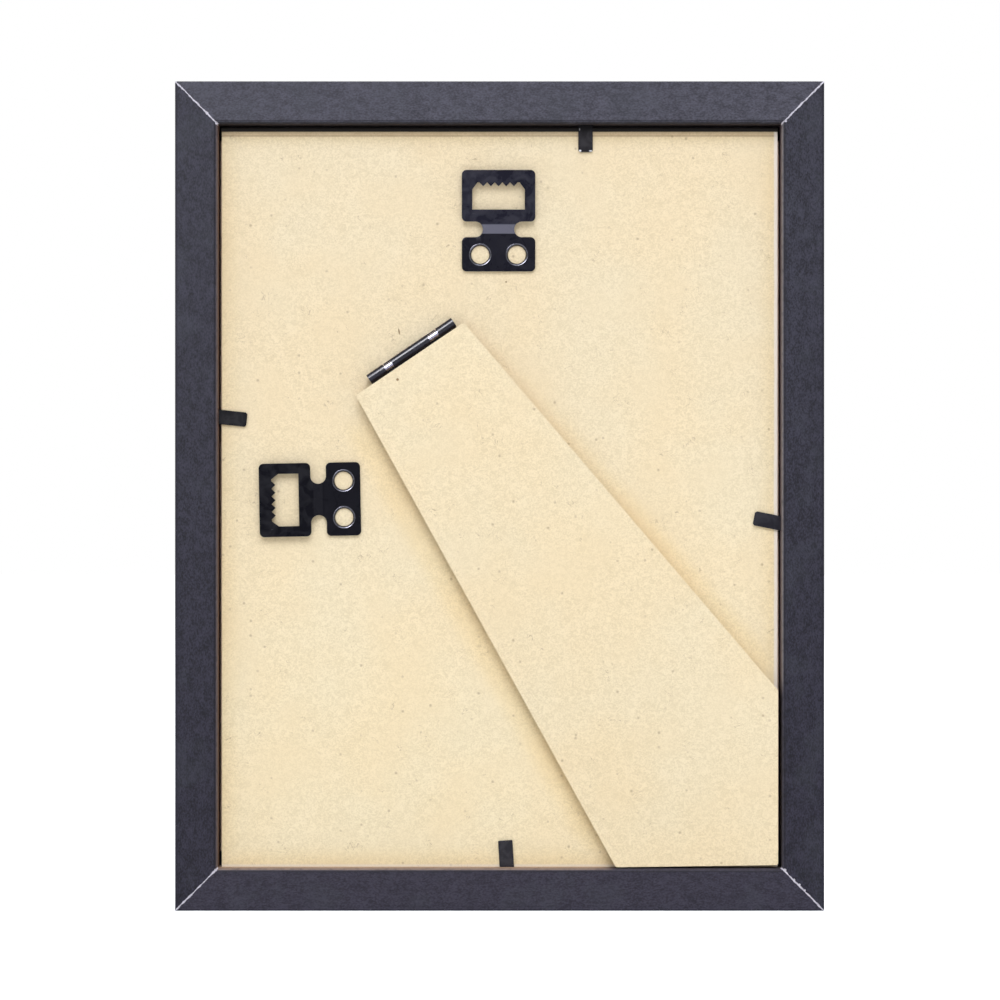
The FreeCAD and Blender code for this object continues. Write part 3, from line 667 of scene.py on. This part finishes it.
finishes["hinge_leg_leaf"] = hinge_finish
roll_finish = bright_steel("roll_finish", 0.17, (62, 62, 68), (92, 92, 98))

# One black coating on all tabs, each tab given its own tone as painted light and shade.
TAB_LIGHT_AND_SHADE_TONES = {"top": (33, 31, 36), "bottom": (48, 47, 54), "left": (22, 22, 27), "right": (37, 36, 45)}
TAB_ROUGHNESS = 0.36
TAB_SPECULAR = 0.09
# Top tab: a painted shadow beside the rail, and painted glints at its bend and at its end corners.
TAB_SHADE_AND_GLINTS = {
    "top": (
        ((23.9, 217.8, 2.8, 1.6, 0), (10, 9, 12)),
        ((22.25, 217.0, 0.16, 0.35, 0), (150, 150, 156)),
        ((22.40, 211.05, 0.34, 0.30, 0), (240, 241, 246)),
        ((25.35, 211.0, 0.50, 0.20, 0), (225, 226, 232)),
    ),
}
tab_finishes = {
    side: coated_steel("tab_" + side + "_finish", colour(*tone), TAB_ROUGHNESS, TAB_SPECULAR,
                       marks=TAB_SHADE_AND_GLINTS.get(side, ()))
    for side, tone in TAB_LIGHT_AND_SHADE_TONES.items()
}


# Solids from the frame: edges broken a little, and a finish

WELD_DISTANCE = 0.001 * MM
BREAK_ANGLE = 35
FLAT_WEIGHT = 80
EDGE_BREAKS = {
    "rail": 0.10 * MM,
    "backing_board": 0.22 * MM,
    "easel_leg": 0.28 * MM,
    "hanger": 0.10 * MM,
    "hinge": 0.06 * MM,
    "photo_insert": 0.05 * MM,
    "corner": 0.05 * MM,
}


def flat_faces(piece):
    normals = piece.modifiers.new("flat_faces", "WEIGHTED_NORMAL")
    normals.keep_sharp = False
    normals.weight = FLAT_WEIGHT


def break_edges(piece, width):
    weld = piece.modifiers.new("weld", "WELD")
    weld.merge_threshold = WELD_DISTANCE
    bevel = piece.modifiers.new("edge_break", "BEVEL")
    bevel.width = width
    bevel.segments = 2
    bevel.limit_method = "ANGLE"
    bevel.angle_limit = math.radians(BREAK_ANGLE)
    bevel.miter_outer = "MITER_ARC"
    flat_faces(piece)


def dress(piece, finish):
    piece.data.materials.clear()
    piece.data.materials.append(finish)


def placed(name, data):
    """A new object of the scene, with this data."""
    made = bpy.data.objects.new(name, data)
    bpy.context.scene.collection.objects.link(made)
    return made


def shape(name, mesh):
    """Mesh data from a finished bmesh, with its faces turned outwards."""
    bmesh.ops.recalc_face_normals(mesh, faces=mesh.faces)
    data = bpy.data.meshes.new(name)
    mesh.to_mesh(data)
    mesh.free()
    return data


for name, finish in finishes.items():
    dress(nodes[name], finish)
    for start, width in EDGE_BREAKS.items():
        if name.startswith(start):
            break_edges(nodes[name], width)


# Collars: the rolled edge of each hanger hole, a quarter round from the plate into the bore

HOLE_GROUPS = {
    "hanger_top": ((-5.4, 182.15), (4.8, 182.15)),
    "hanger_side": ((-43.447, 119.287), (-43.251, 109.089)),
}
ROLL_OUTER = 3.12 * MM
ROLL_DEPTH = 0.52 * MM
ROLL_LEVEL = -3.93 * MM
ROLL_STEPS = 6
ROLL_SIDES = 48


def roll_profile():
    """Radius and level of each point of the section: the visible quarter, then its corner in the plate."""
    turns = [math.pi / 2 * step / ROLL_STEPS for step in range(ROLL_STEPS + 1)]
    quarter = [(ROLL_OUTER - ROLL_DEPTH * math.sin(turn), ROLL_LEVEL + ROLL_DEPTH * (1 - math.cos(turn)))
               for turn in turns]
    return quarter + [(ROLL_OUTER, ROLL_LEVEL + ROLL_DEPTH)]


def collar_rolls(name, holes):
    mesh = bmesh.new()
    for hole_x, hole_z in holes:
        rings = []
        for radius, level in roll_profile():
            ring = []
            for side in range(ROLL_SIDES):
                around = 2 * math.pi * side / ROLL_SIDES
                ring.append(mesh.verts.new((hole_x * MM + radius * math.cos(around), level,
                                            hole_z * MM + radius * math.sin(around))))
            rings.append(ring)
        for k, outer in enumerate(rings):
            inner = rings[(k + 1) % len(rings)]
            for i in range(ROLL_SIDES):
                j = (i + 1) % ROLL_SIDES
                face = mesh.faces.new((outer[i], outer[j], inner[j], inner[i]))
                face.smooth = k < ROLL_STEPS
    rolls = placed(name, shape(name, mesh))
    dress(rolls, roll_finish)
    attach(rolls, "frame")


for name, holes in HOLE_GROUPS.items():
    collar_rolls(name + "_collar_rolls", holes)


# Tabs: each is one strip from its point inside the rail to its clipped end over the board

# Place on the rabbet wall, direction over the board, reach, chamfer of the end corners, and tilt in degrees
TABS = {
    "top": ((23.898 * MM, RABBET_TOP), (0, -1), 7.5 * MM, 0.40 * MM, 0.0),
    "bottom": ((2.002 * MM, RABBET_FOOT), (0, 1), 7.4 * MM, 0.18 * MM, 3.3),
    "left": ((-RABBET_SIDE, 137.044 * MM), (1, 0), 7.9 * MM, 0.45 * MM, -6.0),
    "right": ((RABBET_SIDE, 107.384 * MM), (-1, 0), 7.6 * MM, 0.50 * MM, -11.3),
}


def half_width_at(along, reach, chamfer):
    """Half the strip's width at a distance from the wall, narrower at its point and its clipped end."""
    from_point = along + TAB_EMBED
    if from_point < TAB_POINT:
        return TAB_POINT_HALF_WIDTH + (TAB_WIDTH / 2 - TAB_POINT_HALF_WIDTH) * from_point / TAB_POINT
    return TAB_WIDTH / 2 - max(0.0, along - (reach - chamfer))


def stations(reach, chamfer):
    """Distances from the wall at which the strip has a row of points, close together where it leaves the
    wall.
    """
    result = [-TAB_EMBED, -TAB_EMBED + TAB_POINT, -TAB_STRAIGHT]
    count = round(TAB_CLOSE_LENGTH / TAB_STEP)
    result += [TAB_CLOSE_START + i * TAB_STEP for i in range(count + 1)]
    return result + [TAB_STRAIGHT, reach - chamfer, reach - TAB_EDGE, reach]


def tab_mesh(name, wall, direction, reach, chamfer, tilt):
    """Strip with rounded long edges, as rings of points joined from one station to the next.

    Returned with the point where it leaves the wall and its direction before the tilt."""
    angle = math.atan2(direction[1], direction[0]) + math.radians(tilt)
    forward = Vector((math.cos(angle), 0, math.sin(angle)))
    aside = Vector((-math.sin(angle), 0, math.cos(angle)))
    out = Vector((0, -1, 0))
    origin = Vector((wall[0], TAB_LEVEL, wall[1]))
    thin = TAB_THICKNESS / 2
    mesh = bmesh.new()
    rings = []
    for along in stations(reach, chamfer):
        half = half_width_at(along, reach, chamfer)
        top = thin if along < reach - TAB_EDGE / 2 else thin - TAB_EDGE
        profile = [
            (half - TAB_EDGE, top), (half - TAB_EDGE / 3, top - TAB_EDGE / 3), (half, top - TAB_EDGE),
            (half, TAB_EDGE - thin), (half - TAB_EDGE, -thin),
            (TAB_EDGE - half, -thin), (-half, TAB_EDGE - thin),
            (-half, top - TAB_EDGE), (TAB_EDGE / 3 - half, top - TAB_EDGE / 3), (TAB_EDGE - half, top),
        ]
        rings.append([mesh.verts.new(origin + forward * along + aside * u + out * v) for u, v in profile])
    for before, after in zip(rings, rings[1:]):
        for i in range(len(before)):
            j = (i + 1) % len(before)
            mesh.faces.new((before[i], before[j], after[j], after[i]))
    mesh.faces.new(rings[0])
    mesh.faces.new(rings[-1][::-1])
    for face in mesh.faces:
        face.smooth = True
    return shape(name, mesh), origin, Vector((direction[0], 0, direction[1]))


for side, (wall, direction, reach, chamfer, tilt) in TABS.items():
    name = "tab_" + side
    data, origin, inwards = tab_mesh(name + "_strip", wall, direction, reach, chamfer, tilt)
    strip = placed(name + "_strip", data)
    dress(strip, tab_finishes[side])
    flat_faces(strip)
    half = TAB_BEND_LENGTH / 2
    start = origin + inwards * (TAB_BEND_GAP - half)
    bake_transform(strip)
    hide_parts(name + "_anchor", name + "_leaf")


# Stage: pale floor, white surroundings, a soft lamp above on each side and one for gloss alone

CAMERA_PLACE = (0.0001, -1.0075, 0.1139)
CAMERA_LENS = 129.9
AIM = (0.0, 0.0, 0.12)
KEY = {"place": (0.0, -1.90, 1.95), "size": 1.50, "power": 37.5, "tint": (0.975, 1.0, 1.12)}
SHEEN = {"place": (-0.42, -0.85, 0.74), "size": 0.50, "power": 24.0, "tint": (0.96, 0.95, 1.0)}
FRONT = {"place": (0.35, 1.35, 1.10), "size": 1.00, "power": 17.0, "tint": (0.975, 1.0, 1.12)}
AMBIENT = 0.53
AMBIENT_TINT = (1.0, 0.962, 0.855, 1)
FLOOR_GLOW = (0.60, 0.625, 0.68, 1)
FLOOR_MATTE = (0.88, 0.88, 0.88, 1)
FLOOR_SIZE = 9.0


def white_for_camera(tree, plain, white):
    """Mix two shaders: the white one for camera, glossy and transmission rays."""
    path = tree.nodes.new("ShaderNodeLightPath")
    first = tree.nodes.new("ShaderNodeMath")
    first.operation = "MAXIMUM"
    tree.links.new(path.outputs["Is Camera Ray"], first.inputs[0])
    tree.links.new(path.outputs["Is Glossy Ray"], first.inputs[1])
    second = tree.nodes.new("ShaderNodeMath")
    second.operation = "MAXIMUM"
    tree.links.new(first.outputs[0], second.inputs[0])
    tree.links.new(path.outputs["Is Transmission Ray"], second.inputs[1])
    mix = tree.nodes.new("ShaderNodeMixShader")
    tree.links.new(second.outputs[0], mix.inputs[0])
    tree.links.new(plain, mix.inputs[1])
    tree.links.new(white, mix.inputs[2])
    return mix.outputs[0]


def surroundings():
    world = bpy.data.worlds.new("surroundings")
    bpy.context.scene.world = world
    world.use_nodes = True
    tree = world.node_tree
    plain = tree.nodes["Background"]
    plain.inputs["Color"].default_value = AMBIENT_TINT
    plain.inputs["Strength"].default_value = AMBIENT
    white = tree.nodes.new("ShaderNodeBackground")
    white.inputs["Color"].default_value = (1, 1, 1, 1)
    white.inputs["Strength"].default_value = 1.0
    shown = white_for_camera(tree, plain.outputs[0], white.outputs[0])
    tree.links.new(shown, tree.nodes["World Output"].inputs["Surface"])


def floor():
    mesh = bpy.data.meshes.new("floor")
    half = FLOOR_SIZE / 2
    corners = [(-half, -half, 0), (half, -half, 0), (half, half, 0), (-half, half, 0)]
    mesh.from_pydata(corners, [], [(0, 1, 2, 3)])
    plane = placed("floor", mesh)
    material = bpy.data.materials.new("floor_white")
    material.use_nodes = True
    tree = material.node_tree
    tree.nodes.remove(tree.nodes["Principled BSDF"])
    matte = tree.nodes.new("ShaderNodeBsdfDiffuse")
    matte.inputs["Color"].default_value = FLOOR_MATTE
    glow = tree.nodes.new("ShaderNodeEmission")
    glow.inputs["Color"].default_value = FLOOR_GLOW
    both = tree.nodes.new("ShaderNodeAddShader")
    tree.links.new(matte.outputs[0], both.inputs[0])
    tree.links.new(glow.outputs[0], both.inputs[1])
    shown = white_for_camera(tree, matte.outputs[0], both.outputs[0])
    tree.links.new(shown, tree.nodes["Material Output"].inputs["Surface"])
    mesh.materials.append(material)


def lamp(name, aim, place, size, power, tint):
    light = bpy.data.lights.new(name, "AREA")
    light.shape = "SQUARE"
    light.size = size
    light.energy = power
    light.color = tint
    holder = placed(name, light)
    holder.location = place
    holder.rotation_euler = (Vector(aim) - Vector(place)).to_track_quat("-Z", "Y").to_euler()
    holder.visible_camera = False
    return holder


def camera():
    data = bpy.data.cameras.new("camera")
    data.lens = CAMERA_LENS
    data.clip_start = 0.05
    data.clip_end = 50
    holder = placed("camera", data)
    holder.location = CAMERA_PLACE
    holder.rotation_euler = (math.radians(90), 0, 0)
    bpy.context.scene.camera = holder


surroundings()
floor()
lamp("key", AIM, **KEY)
lamp("front", AIM, **FRONT)
lamp("sheen", AIM, **SHEEN).visible_diffuse = False
camera()
bpy.context.scene.view_settings.view_transform = "Standard"
